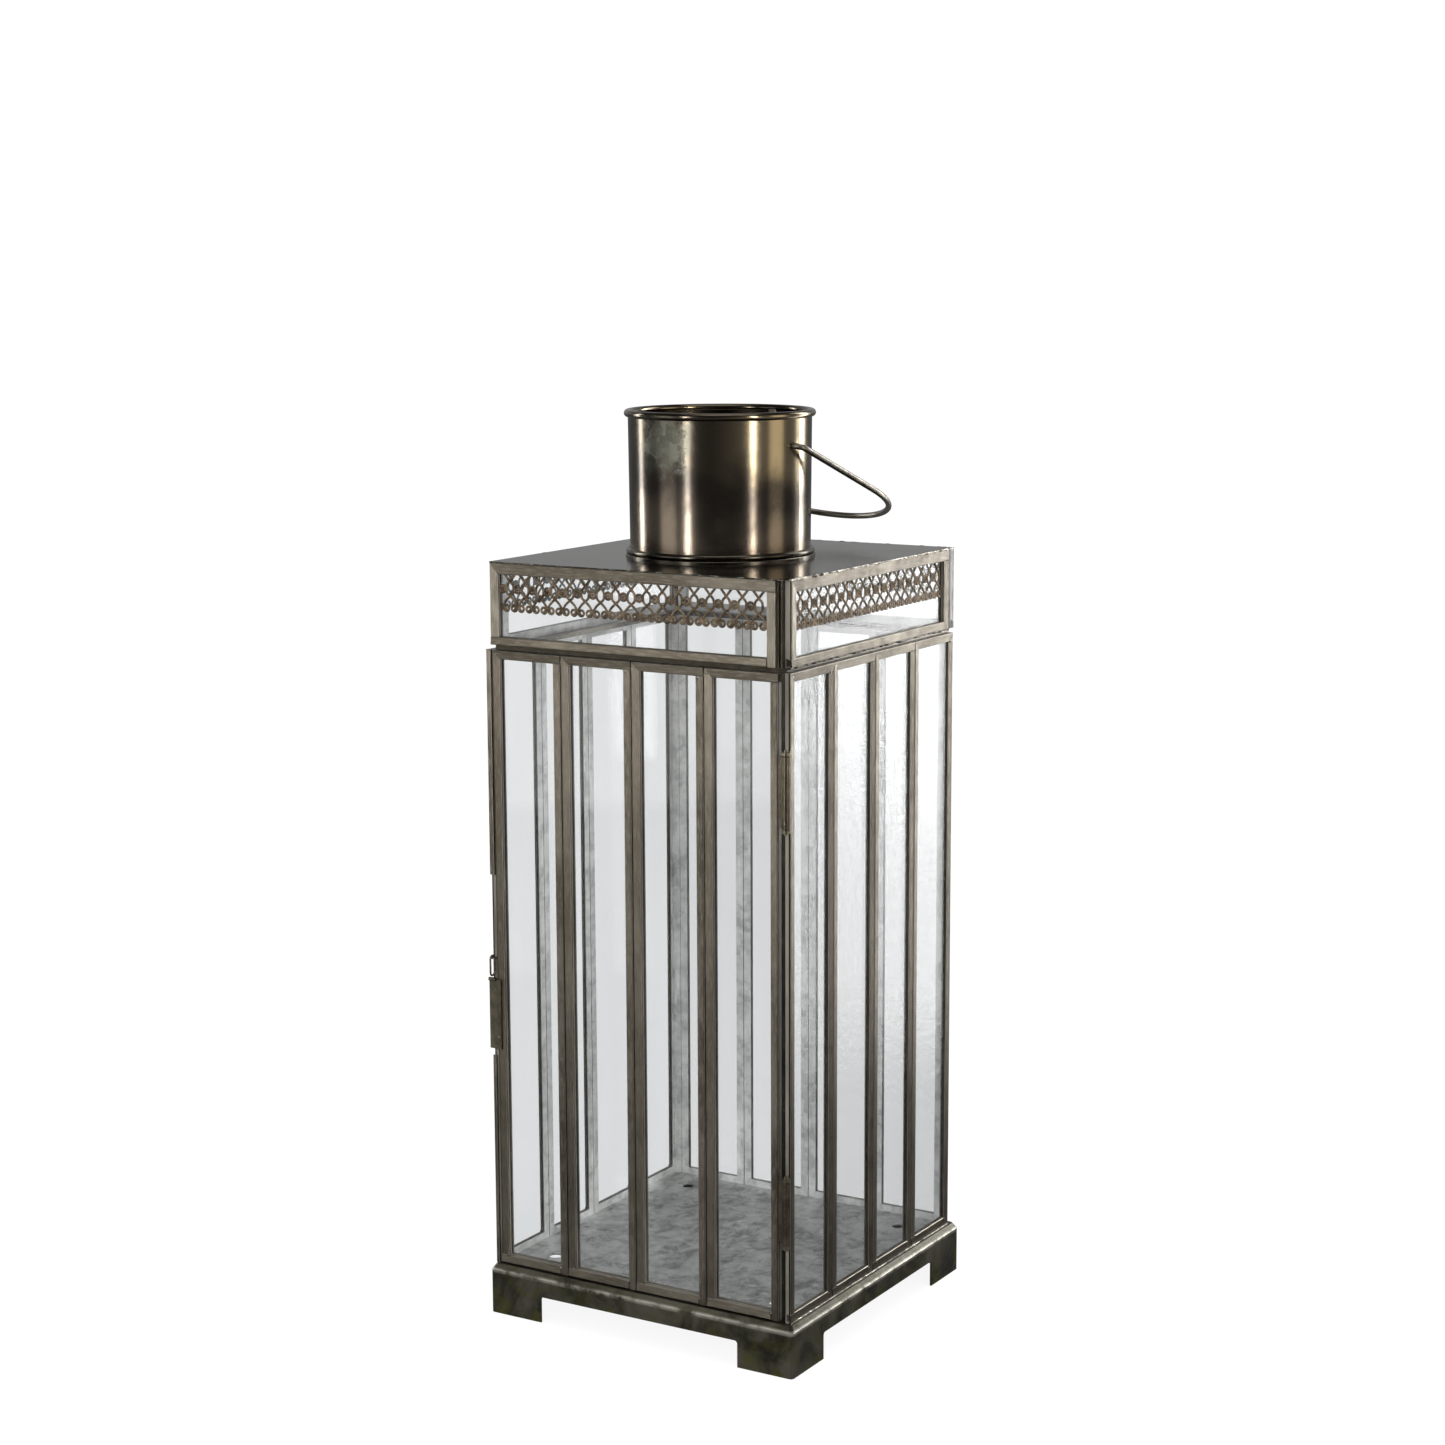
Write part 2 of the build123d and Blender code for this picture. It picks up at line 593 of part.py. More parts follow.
with BuildPart() as catch_loop:
    loop_top = LOOP_TOP + LOOP_WIRE / 2
    arc_drop = loop_top - LOOP_HALF_WIDTH
    foot = loop_top - LOOP_LENGTH + LOOP_HALF_WIDTH
    with BuildLine(Plane((CATCH_X, CATCH_Y, CATCH_Z), x_dir=(0, 1, 0), z_dir=(1, 0, 0))) as loop_line:
        Line((LOOP_HALF_WIDTH, foot), (LOOP_HALF_WIDTH, arc_drop))
        ThreePointArc((LOOP_HALF_WIDTH, arc_drop), (0, loop_top), (-LOOP_HALF_WIDTH, arc_drop))
        Line((-LOOP_HALF_WIDTH, arc_drop), (-LOOP_HALF_WIDTH, foot))
        ThreePointArc((-LOOP_HALF_WIDTH, foot), (0, foot - LOOP_HALF_WIDTH), (LOOP_HALF_WIDTH, foot))
    with BuildSketch(Plane(loop_line.line @ 0, z_dir=loop_line.line % 0)):
        Circle(LOOP_WIRE)
    sweep()
save(catch_loop.part, "catch_loop")
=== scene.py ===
import json
import random
from math import cos, pi, radians, sin

import bmesh
import bpy
from mathutils import Matrix, Vector, noise

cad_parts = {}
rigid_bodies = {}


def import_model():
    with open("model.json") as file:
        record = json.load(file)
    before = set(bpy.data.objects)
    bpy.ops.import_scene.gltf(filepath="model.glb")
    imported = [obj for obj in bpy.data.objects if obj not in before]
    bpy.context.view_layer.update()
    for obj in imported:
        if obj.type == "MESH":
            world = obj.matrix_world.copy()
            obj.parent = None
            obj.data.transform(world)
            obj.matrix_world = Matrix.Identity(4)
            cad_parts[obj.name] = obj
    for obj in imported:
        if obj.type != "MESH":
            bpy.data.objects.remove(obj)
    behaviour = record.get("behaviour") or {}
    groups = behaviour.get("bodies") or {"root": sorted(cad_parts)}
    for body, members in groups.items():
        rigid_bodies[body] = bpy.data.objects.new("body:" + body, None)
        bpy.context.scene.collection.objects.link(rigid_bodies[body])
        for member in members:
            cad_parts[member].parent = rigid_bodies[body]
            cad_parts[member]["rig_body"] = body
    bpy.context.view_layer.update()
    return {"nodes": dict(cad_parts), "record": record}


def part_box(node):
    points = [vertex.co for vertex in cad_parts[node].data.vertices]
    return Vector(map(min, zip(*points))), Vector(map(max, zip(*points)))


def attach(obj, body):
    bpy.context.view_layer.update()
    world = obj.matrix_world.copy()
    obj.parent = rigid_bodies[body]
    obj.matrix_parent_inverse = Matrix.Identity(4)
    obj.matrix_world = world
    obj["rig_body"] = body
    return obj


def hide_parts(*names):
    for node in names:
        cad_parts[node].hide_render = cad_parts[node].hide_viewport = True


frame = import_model()

MM = 0.001
UP = Vector((0, 0, 1))
OUTWARD = {"front": (0, -1, 0), "right": (1, 0, 0), "back": (0, 1, 0), "left": (-1, 0, 0)}
NODES = frame["nodes"]
BODIES = {name: body["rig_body"] for name, body in NODES.items()}
SLOTS = {row["node"]: row["material_slot"] for row in frame["record"]["subparts"]}
FIXED_BODY = "lantern_body"
PANES = 4  # side by side in each wall of the body; the head has one in each wall


def extent(node, direction):
    """Lowest and highest reach of a CAD node's box along a level direction."""
    low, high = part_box(node)
    reach = [Vector((x, y, 0)).dot(direction) for x in (low.x, high.x) for y in (low.y, high.y)]
    return min(reach), max(reach)


# ---- Camera -------------------------------------------------------------------------------

CAMERA_PLACE = Vector((0.9493, -1.5725, 0.6922))
CAMERA_TURN = radians(31.21)  # it looks this far to the left of +Y
CAMERA_PITCH = radians(9.37)  # and this far down
CAMERA_ROLL = radians(-0.249)
CAMERA_LENS = 70.79
CAMERA_SIGHT = 100.0


def make_camera():
    """The camera stands in front of the lantern, to its right, a little above the roof."""
    level_part = cos(CAMERA_PITCH)
    left, forward = sin(CAMERA_TURN) * level_part, cos(CAMERA_TURN) * level_part
    ahead = Vector((-left, forward, -sin(CAMERA_PITCH)))
    side = ahead.cross(UP).normalized()
    above = side.cross(ahead)
    right = side * cos(CAMERA_ROLL) + above * sin(CAMERA_ROLL)
    top = above * cos(CAMERA_ROLL) - side * sin(CAMERA_ROLL)
    data = bpy.data.cameras.new("camera")
    data.lens = CAMERA_LENS
    data.clip_end = CAMERA_SIGHT
    camera = bpy.data.objects.new("camera", data)
    turned = Matrix((right, top, -ahead)).transposed().to_4x4()
    camera.matrix_world = Matrix.Translation(CAMERA_PLACE) @ turned
    bpy.context.scene.collection.objects.link(camera)
    bpy.context.scene.camera = camera


# ---- Node trees ---------------------------------------------------------------------------


class NodeTree:
    """Short names for making the nodes of a tree. Lengths are metres in the row frame."""

    def __init__(self, tree):
        self.tree = tree
        self.place = tree.nodes.new("ShaderNodeTexCoord").outputs

    def put(self, socket, value):
        """Give a socket a number, a colour or the output of another node."""
        if isinstance(value, bpy.types.NodeSocket):
            self.tree.links.new(value, socket)
        else:
            socket.default_value = value

    def node(self, kind, inputs, **settings):
        made = self.tree.nodes.new(kind)
        for key, value in settings.items():
            setattr(made, key, value)
        for key, value in inputs.items():
            self.put(made.inputs[key], value)
        return made

    def moved(self, stretch=(1, 1, 1), shift=(0, 0, 0)):
        inputs = {"Vector": self.place["Object"], "Scale": stretch, "Location": shift}
        return self.node("ShaderNodeMapping", inputs).outputs[0]

    def noise(self, size, detail=4.0, rough=0.6, stretch=(1, 1, 1), shift=(0, 0, 0), twist=0.0):
        """Smooth noise whose lumps are about this size."""
        inputs = {
            "Vector": self.moved(stretch, shift),
            "Scale": 1 / size,
            "Detail": detail,
            "Roughness": rough,
            "Distortion": twist,
        }
        return self.node("ShaderNodeTexNoise", inputs).outputs["Fac"]

    def crystals(self, size):
        """A random grey for each cell of about this size, as zinc spangle has."""
        inputs = {"Vector": self.moved(), "Scale": 1 / size}
        made = self.node("ShaderNodeTexVoronoi", inputs, distance="CHEBYCHEV")
        return self.node("ShaderNodeSeparateColor", {"Color": made.outputs["Color"]}).outputs[0]

    def math(self, operation, a, b=0.0):
        return self.node("ShaderNodeMath", {0: a, 1: b}, operation=operation).outputs[0]

    def vector_math(self, operation, a, b):
        made = self.node("ShaderNodeVectorMath", {0: a, 1: b}, operation=operation)
        return made.outputs["Value"]

    def both(self, a, b):
        return self.math("MULTIPLY", a, b)

    def flipped(self, share):
        """1 where share is 0, and 0 where it is 1."""
        return self.math("SUBTRACT", 1.0, share)

    def between(self, value, low, high, first=0.0, last=1.0):
        """The first number below low, the last above high, and a smooth change in between."""
        inputs = {"Value": value, "From Min": low, "From Max": high, "To Min": first, "To Max": last}
        return self.node("ShaderNodeMapRange", inputs, interpolation_type="SMOOTHSTEP").outputs[0]

    def within(self, value, centre, half, soft):
        """1 near the centre value, falling to 0 beyond half its width."""
        gap = self.math("ABSOLUTE", self.math("SUBTRACT", value, centre))
        return self.flipped(self.between(gap, half - soft, half + soft))

    def blend(self, share, a, b):
        """Number a where share is 0 and b where it is 1."""
        inputs = {"Value": share, "To Min": a, "To Max": b}
        return self.node("ShaderNodeMapRange", inputs).outputs[0]

    def along(self, direction):
        """How far along the direction the spot lies, at rest."""
        return self.vector_math("DOT_PRODUCT", self.place["Object"], direction)

    def facing(self, direction):
        """1 where the surface faces the direction, -1 where it faces away, at rest."""
        return self.vector_math("DOT_PRODUCT", self.place["Normal"], direction)

    def rays(self):
        """The kinds of ray, and 1 for one that ends in the eye, straight or through glass."""
        kinds = self.node("ShaderNodeLightPath", {}).outputs
        return kinds, self.math("MAXIMUM", kinds["Is Camera Ray"], kinds["Is Transmission Ray"])


class Paint(NodeTree):
    """A material and what its shader is given."""

    def __init__(self, name, **shader_values):
        self.material = bpy.data.materials.new(name)
        self.material.use_nodes = True
        super().__init__(self.material.node_tree)
        self.shader = self.tree.nodes["Principled BSDF"]
        for key, value in shader_values.items():
            self.give(key.replace("_", " "), value)

    def give(self, name, value):
        self.put(self.shader.inputs[name], value)

    def mix(self, share, a, b):
        """Colour a where share is 0 and b where it is 1."""
        made = self.node("ShaderNodeMix", {0: share}, data_type="RGBA")
        for socket, colour in ((made.inputs[6], a), (made.inputs[7], b)):
            self.put(socket, colour if isinstance(colour, bpy.types.NodeSocket) else (*colour, 1))
        return made.outputs[2]

    def over(self, colour, coat, share, strength=None):
        """The colour under a coat of another one, which lies where share is 1."""
        if strength is not None:
            share = self.both(share, strength)
        return self.mix(share, colour, coat)

    def bump(self, height, distance, strength):
        inputs = {"Height": height, "Distance": distance, "Strength": strength}
        return self.node("ShaderNodeBump", inputs).outputs[0]

    def done(self, colour, roughness, normal=None):
        self.give("Base Color", colour)
        self.give("Roughness", roughness)
        if normal is not None:
            self.give("Normal", normal)
        return self.material


# ---- Zinc and brass -----------------------------------------------------------------------

ZINC_DARK = (0.34, 0.345, 0.34)
ZINC_MID = (0.60, 0.605, 0.595)
ZINC_PALE = (0.84, 0.845, 0.83)
ZINC_METALLIC = 0.25

BRASS_BLACK = (0.030, 0.025, 0.018)
BRASS_DARK = (0.160, 0.138, 0.104)
BRASS_MID = (0.330, 0.295, 0.235)
BRASS_WORN_AND_HIGHLIGHT = (0.62, 0.58, 0.50)
BRASS_CLOUD = (0.36, 0.62)  # where the cloudy tone turns from dark to pale
GLAZED_DARK = (0.090, 0.081, 0.066)  # the strips that lie behind the glass
GLAZED_PALE = (0.165, 0.150, 0.125)
GLAZED_DEPTH = (1.2 * MM, 1.5 * MM)  # how deep below the outer face they begin
SEAM_BLUR = 0.003  # these two are shares of a pane's width
SEAM_REACH = (0.011, 0.022)
LONG_TONE = 0.4  # how much noise is stretched along a strip
LONG_GRAIN = 0.12

GALLERY_DARK = (0.085, 0.062, 0.040)
GALLERY_BROWN = (0.21, 0.158, 0.105)
GALLERY_WORN = (0.56, 0.45, 0.33)
GALLERY_BACK = (0.28, 0.285, 0.24)


def zinc(paint):
    """Colour of mottled galvanised sheet: spangle, cloudy stains and pale wiped patches."""
    cloud = paint.noise(20 * MM, 6, 0.7)
    spangle = paint.between(paint.crystals(4.5 * MM), 0.1, 0.9)
    streak = paint.noise(12 * MM, 5, 0.65, stretch=(1, 1, 0.25), shift=(3, 1, 0))
    colour = paint.mix(paint.between(cloud, 0.35, 0.65), ZINC_DARK, ZINC_MID)
    colour = paint.over(colour, ZINC_PALE, spangle, 0.28)
    return paint.over(colour, ZINC_PALE, paint.between(streak, 0.56, 0.74), 0.8)


def pane_seams(paint, colour, node, right):
    """Neighbouring cames side by side: the right one painted darker as painted shade of its slight
    tilt, and a black seam between them.
    """
    start, end = extent(node, right)
    pitch = (end - start) / PANES
    column = paint.math("DIVIDE", paint.math("SUBTRACT", paint.along(right), start), pitch)
    beside = paint.math("SUBTRACT", column, paint.math("ROUND", column))
    # painted shade: the came right of each seam is darkened, as if tilted away from the light
    colour = paint.over(colour, BRASS_DARK, paint.between(beside, -SEAM_BLUR, SEAM_BLUR), 0.55)
    seam = paint.flipped(paint.between(paint.math("ABSOLUTE", beside), *SEAM_REACH))
    return paint.over(colour, BRASS_BLACK, seam, 0.85)


def came_brass(node, outward):
    """Antiqued brass: its rolling grain along the strip, black in the seams between neighbouring
    cames, pale on their rounded edges as rubbed wear with a painted highlight. Painted shade blackens
    the faces turned sideways, and darkens the right-hand walls and the right came of each pair at a
    seam.
    Behind the glass the cames are dull, and bare galvanised sheet on the faces turned to the inside."""
    paint = Paint(f"{node}_brass")
    out = Vector(outward)
    level = node.endswith("_rails")
    tone_stretch = (LONG_TONE, LONG_TONE, 1) if level else (1, 1, LONG_TONE)
    grain_stretch = (LONG_GRAIN, LONG_GRAIN, 1) if level else (1, 1, LONG_GRAIN)
    tone = paint.noise(30 * MM, 5, 0.62, stretch=tone_stretch)
    grain = paint.noise(1.1 * MM, 3, 0.6, stretch=grain_stretch)
    smudge = paint.noise(9 * MM, 6, 0.7, shift=(1, 4, 2))
    cloudy = paint.between(tone, *BRASS_CLOUD)
    colour = paint.mix(cloudy, BRASS_DARK, BRASS_MID)
    colour = paint.over(colour, BRASS_WORN_AND_HIGHLIGHT, paint.between(grain, 0.45, 0.7), 0.35)
    colour = paint.over(colour, BRASS_DARK, paint.between(smudge, 0.55, 0.72), 0.45)
    if level:
        colour = paint.over(colour, BRASS_DARK, 0.30)
    # painted shade: the cames of the right-hand walls are darkened towards black
    if "right" in node:
        colour = paint.over(colour, BRASS_BLACK, 0.45)
    if node.endswith("_stiles") and "head" not in node:
        colour = pane_seams(paint, colour, node, UP.cross(out))
    front = paint.facing(out)
    # rubbed wear with a painted highlight: pale on the rounded edges turned part way from the face
    colour = paint.over(colour, BRASS_WORN_AND_HIGHLIGHT, paint.within(front, 0.66, 0.2, 0.08), 0.7)
    # painted shade: faces turned sideways to the wall are painted black
    colour = paint.mix(paint.between(front, 0.0, 0.2), BRASS_BLACK, colour)
    _, face = extent(node, out)
    behind = paint.between(paint.math("SUBTRACT", face, paint.along(out)), *GLAZED_DEPTH)
    colour = paint.over(colour, paint.mix(cloudy, GLAZED_DARK, GLAZED_PALE), behind)
    inside = paint.between(paint.facing(-out), 0.2, 0.6)
    colour = paint.over(colour, zinc(paint), inside)
    paint.give("Metallic", paint.blend(paint.math("MAXIMUM", behind, inside), 1.0, ZINC_METALLIC))
    rough = paint.blend(paint.between(smudge, 0.3, 0.7), 0.30, 0.46)
    return paint.done(colour, rough, paint.bump(paint.math("ADD", grain, smudge), 0.2 * MM, 0.5))


def gallery_brass(side, outward):
    """Brown stamped brass, rubbed bright in places, with dull grey backs turned to the glass."""
    paint = Paint(f"gallery_brass_{side}")
    tone = paint.noise(6 * MM, 4, 0.6)
    speck = paint.noise(1.2 * MM, 3, 0.6)
    colour = paint.mix(paint.between(tone, 0.4, 0.62), GALLERY_DARK, GALLERY_BROWN)
    colour = paint.over(colour, GALLERY_WORN, paint.between(speck, 0.52, 0.7), 0.5)
    back = paint.between(paint.facing(-Vector(outward)), 0.4, 0.8)
    colour = paint.over(colour, GALLERY_BACK, back)
    paint.give("Metallic", paint.blend(back, 0.85, 0.0))
    paint.give("Specular IOR Level", paint.blend(back, 0.5, 0.1))
    rough = paint.blend(paint.math("MAXIMUM", tone, back), 0.32, 0.62)
    return paint.done(colour, rough, paint.bump(speck, 0.03 * MM, 0.6))


# ---- Bronze, solder, floor sheet and glass ------------------------------------------------

PLINTH_DARK = (0.045, 0.043, 0.030)
PLINTH_PALE = (0.135, 0.128, 0.098)
PLINTH_GREEN = (0.112, 0.115, 0.030)
PLINTH_LEDGE_SHADE = (0.03, 0.028, 0.02)
PLINTH_WORN_AND_HIGHLIGHT = (0.46, 0.44, 0.38)
PLINTH_SPECK = (0.24, 0.22, 0.17)
PLINTH_FEET = (12 * MM, 26 * MM)  # heights between which the green of the feet fades
PLINTH_BEAD_DROP = 4.3 * MM  # from the top down to the middle of the pale edge, rubbed wear with a painted highlight

ROOF_BLACK = (0.022, 0.020, 0.016)
ROOF_BROWN = (0.055, 0.050, 0.041)
ROOF_SCUFFED = (0.11, 0.10, 0.085)

CHIMNEY_FOOT = (0.115, 0.098, 0.078)
CHIMNEY_BLACK = (0.062, 0.054, 0.046)
CHIMNEY_GOLD_AND_SHEEN = (0.400, 0.325, 0.210)
CHIMNEY_BROWN = (0.250, 0.205, 0.155)
CHIMNEY_GRAIN = (0.5, 0.45, 0.36)
GOLD_SHEEN_SIDE = (0.93, -0.36, 0)  # the way the painted warm sheen faces, towards the right-hand lamps
SPANGLE_DARK = (0.105, 0.110, 0.088)
SPANGLE_PALE = (0.215, 0.222, 0.180)
PATCH_SIDE = Vector((-0.10, -0.995, 0))
PATCH_HEIGHT = 0.79  # share of the tube's height
PATCH_RADIUS = 58.5 * MM  # from the tube's axis
PATCH_FADE = (8 * MM, 24 * MM)  # distances from its middle between which it fades
PATCH_RAGGED = 30 * MM

SOLDER_STAINED = (0.13, 0.115, 0.09)
SOLDER_BRIGHT = (0.56, 0.53, 0.47)
FLOOR_STAIN = (0.10, 0.10, 0.096)
GLASS_GREY = (0.902, 0.909, 0.912)
GLASS_CLEAR = (0.937, 0.940, 0.942)
GLASS_MIRROR = 0.04  # share of the light that clear glass mirrors when it is looked at squarely


def plinth_bronze():
    """Dark olive bronze with green stains on the feet, painted shade on the faces turned up, and a pale
    top edge that is rubbed wear with a painted highlight.
    """
    paint = Paint("plinth_bronze", Metallic=0.9)
    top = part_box("plinth")[1].z
    cloud = paint.noise(30 * MM, 6, 0.66, twist=0.6)
    moss = paint.noise(17 * MM, 5, 0.62, shift=(5, 2, 7), twist=0.8)
    wear = paint.noise(12 * MM, 4, 0.6, shift=(2, 2, 0))
    speck = paint.noise(4 * MM, 5, 0.75, shift=(8, 0, 3))
    grain = paint.noise(1.5 * MM, 3, 0.6)
    height = paint.along(UP)
    colour = paint.mix(paint.between(cloud, 0.36, 0.64), PLINTH_DARK, PLINTH_PALE)
    foot = paint.flipped(paint.between(height, *PLINTH_FEET))
    stain = paint.both(paint.between(moss, 0.46, 0.64), paint.blend(foot, 0.25, 0.9))
    colour = paint.over(colour, PLINTH_GREEN, stain)
    # painted shade: faces turned up are darkened
    colour = paint.over(colour, PLINTH_LEDGE_SHADE, paint.between(paint.facing(UP), 0.3, 0.7), 0.65)
    # rubbed wear with a painted highlight along the top edge
    edge = paint.within(height, top - PLINTH_BEAD_DROP, 1.2 * MM, 1.0 * MM)
    colour = paint.over(colour, PLINTH_WORN_AND_HIGHLIGHT, edge, paint.between(wear, 0.34, 0.58))
    colour = paint.over(colour, PLINTH_SPECK, paint.between(speck, 0.68, 0.74), 0.6)
    rough = paint.blend(paint.between(cloud, 0.3, 0.7), 0.26, 0.46)
    relief = paint.math("ADD", cloud, paint.both(grain, 0.15))
    return paint.done(colour, rough, paint.bump(relief, 1.2 * MM, 0.5))


def roof_bronze():
    """Near-black bronze sheet with cloudy brown stains, smooth enough to mirror. Its underside
    is galvanised."""
    paint = Paint("roof_bronze")
    cloud = paint.noise(50 * MM, 6, 0.62, twist=0.5)
    scuff = paint.noise(20 * MM, 6, 0.75, stretch=(0.3, 1, 1), shift=(3, 0, 0))
    grain = paint.noise(1.2 * MM, 3, 0.6)
    colour = paint.mix(paint.between(cloud, 0.36, 0.66), ROOF_BLACK, ROOF_BROWN)
    colour = paint.over(colour, ROOF_SCUFFED, paint.between(scuff, 0.60, 0.72), 0.3)
    inside = paint.between(paint.facing(-UP), 0.4, 0.8)
    colour = paint.over(colour, zinc(paint), inside)
    paint.give("Metallic", paint.blend(inside, 1.0, ZINC_METALLIC))
    relief = paint.math("ADD", cloud, paint.both(grain, 0.04))
    return paint.done(colour, paint.blend(cloud, 0.11, 0.20), paint.bump(relief, 0.4 * MM, 0.3))


def chimney_bronze():
    """Bronzed tube: gold-brown near the rim, with a painted warm sheen on the side towards the
    right-hand lamps, black in the middle, brown lower down, with one bare spangled patch."""
    paint = Paint("chimney_bronze", Metallic=1.0)
    low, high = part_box("chimney_tube")
    centre = (low + high) / 2
    tall = high.z - low.z
    cloud = paint.noise(45 * MM, 5, 0.55, twist=0.4)
    frayed = paint.noise(10 * MM, 4, 0.6)
    grain = paint.noise(0.9 * MM, 2, 0.6)
    share = paint.math("DIVIDE", paint.math("SUBTRACT", paint.along(UP), low.z), tall)
    wavy = paint.math("ADD", share, paint.both(paint.math("SUBTRACT", cloud, 0.5), 0.9))
    colour = paint.mix(paint.between(wavy, 0.12, 0.55), CHIMNEY_FOOT, CHIMNEY_BLACK)
    # gold-brown patina everywhere, raised to a painted warm sheen on the side facing the right-hand
    # lamps
    gold_sheen_side = paint.between(paint.facing(GOLD_SHEEN_SIDE), 0.72, 0.99)
    gold = paint.both(paint.between(wavy, 0.38, 0.80), paint.blend(gold_sheen_side, 0.15, 1.0))
    colour = paint.over(colour, CHIMNEY_GOLD_AND_SHEEN, gold)
    lower = paint.flipped(paint.between(wavy, 0.10, 0.42))
    colour = paint.over(colour, CHIMNEY_BROWN, lower, 0.8)
    patch = Vector((centre.x, centre.y, low.z + PATCH_HEIGHT * tall)) + PATCH_SIDE * PATCH_RADIUS
    away = paint.vector_math("DISTANCE", paint.place["Object"], patch)
    uneven = paint.both(paint.math("SUBTRACT", frayed, 0.5), PATCH_RAGGED)
    bare = paint.flipped(paint.between(paint.math("ADD", away, uneven), *PATCH_FADE))
    spangle = paint.mix(paint.crystals(5 * MM), SPANGLE_DARK, SPANGLE_PALE)
    colour = paint.over(colour, spangle, bare, 0.8)
    colour = paint.over(colour, CHIMNEY_GRAIN, paint.between(grain, 0.58, 0.75), 0.25)
    return paint.done(colour, paint.blend(bare, 0.17, 0.34), paint.bump(grain, 0.05 * MM, 0.6))


def dark_bronze(name, colour, worn, roughness=0.3):
    """Blackened bronze with worn flecks, for wire, hinges, posts and the neck."""
    paint = Paint(name, Metallic=1.0)
    tone = paint.noise(12 * MM, 5, 0.65)
    fleck = paint.noise(1.8 * MM, 4, 0.7, shift=(1, 2, 3))
    paler = [1.7 * channel for channel in colour]
    mixed = paint.mix(paint.between(tone, 0.35, 0.68), colour, paler)
    mixed = paint.over(mixed, worn, paint.between(fleck, 0.56, 0.7), 0.5)
    rough = paint.blend(tone, roughness - 0.06, roughness + 0.14)
    return paint.done(mixed, rough, paint.bump(fleck, 0.1 * MM, 0.5))


def solder():
    """Tin-lead solder, dulled and stained brown, with bright wiped spots."""
    paint = Paint("solder", Metallic=1.0)
    tone = paint.noise(4 * MM, 5, 0.7)
    colour = paint.mix(paint.between(tone, 0.4, 0.62), SOLDER_STAINED, SOLDER_BRIGHT)
    return paint.done(colour, paint.blend(tone, 0.34, 0.22), paint.bump(tone, 0.6 * MM, 0.6))


def galvanised_floor():
    """Galvanised floor sheet, stained and slightly dented, lighter where it was wiped."""
    paint = Paint("galvanised_floor", Metallic=0.85)
    dents = paint.noise(28 * MM, 5, 0.6, shift=(0, 5, 0), twist=0.4)
    stain = paint.noise(14 * MM, 7, 0.75, stretch=(1, 0.6, 1), shift=(4, 0, 0), twist=0.6)
    colour = paint.over(zinc(paint), FLOOR_STAIN, paint.between(stain, 0.48, 0.66), 0.55)
    rough = paint.blend(paint.between(stain, 0.3, 0.7), 0.28, 0.5)
    relief = paint.math("ADD", dents, paint.both(stain, 0.22))
    return paint.done(colour, rough, paint.bump(relief, 4 * MM, 0.5))


def window_glass(name, ripple, shine):
    """Thin clear glass: what is behind it shows straight, tinted faintly grey, under a clear
    reflection that ripples a little, as drawn sheet does."""
    paint = Paint(name)
    paint.tree.nodes.remove(paint.shader)
    haze = paint.noise(70 * MM, 4, 0.6, stretch=(1, 1, 0.4))
    waves = paint.noise(4 * MM, 4, 0.65, stretch=(1, 1, 0.8))
    tint = paint.mix(haze, GLASS_GREY, GLASS_CLEAR)
    clear = paint.node("ShaderNodeBsdfTransparent", {"Color": tint}).outputs[0]
    inputs = {"Roughness": 0.03, "Normal": paint.bump(waves, ripple, 0.6)}
    gloss = paint.node("ShaderNodeBsdfGlossy", inputs).outputs[0]
    turned_away = paint.node("ShaderNodeLayerWeight", {"Blend": 0.5}).outputs["Facing"]
    glancing = paint.both(paint.math("POWER", turned_away, 5.0), (1 - GLASS_MIRROR) * shine)
    mirror = paint.math("ADD", glancing, GLASS_MIRROR * shine)
    mixed = paint.node("ShaderNodeMixShader", {0: mirror, 1: clear, 2: gloss}).outputs[0]
    paint.put(paint.tree.nodes["Material Output"].inputs["Surface"], mixed)
    return paint.material


# ---- Which material goes where ------------------------------------------------------------

MATERIALS = {
    "plinth": plinth_bronze(),
    "roof": roof_bronze(),
    "chimney": chimney_bronze(),
    "wire": dark_bronze("bronzed_wire", (0.20, 0.185, 0.155), (0.50, 0.47, 0.41)),
    "post": dark_bronze("blackened_bronze", (0.040, 0.036, 0.028), (0.22, 0.19, 0.15), 0.2),
    "ring": dark_bronze("ring_bronze", (0.075, 0.066, 0.052), (0.30, 0.27, 0.22), 0.18),
    "sleeve": dark_bronze("sleeve_bronze", (0.110, 0.092, 0.068), (0.42, 0.36, 0.28)),
    "hinge": dark_bronze("hinge_bronze", (0.165, 0.148, 0.105), (0.45, 0.40, 0.31)),
    "solder": solder(),
    "floor": galvanised_floor(),
    # the shine numbers set how strongly each copy mirrors: raised on the right wall as painted light,
    # dimmed on the left wall as painted shade
    "clear_glass": window_glass("clear_glass", 0.03 * MM, 1.0),
    "rippled_glass": window_glass("rippled_glass", 0.9 * MM, 1.25),
    "shaded_glass": window_glass("shaded_glass", 0.03 * MM, 0.25),
}
GLASS = {"right": "rippled_glass", "left": "shaded_glass"}  # clear glass on the other sides
FINISHES = {
    "plinth": "plinth",
    "floor_plate": "floor",
    "roof_plate": "roof",
    "chimney_tube": "chimney",
    "chimney_base_ring": "ring",
    "neck_frame": "post",
    "head_corner_posts": "post",
    "hinge_jamb": "post",
    "hasp": "hinge",
    "hinge_lugs": "hinge",
    "hinge_sleeves": "sleeve",
}
LOOSE_CAMES = {"corner_post": "back", "closing_beads": "front"}  # the sides that they face


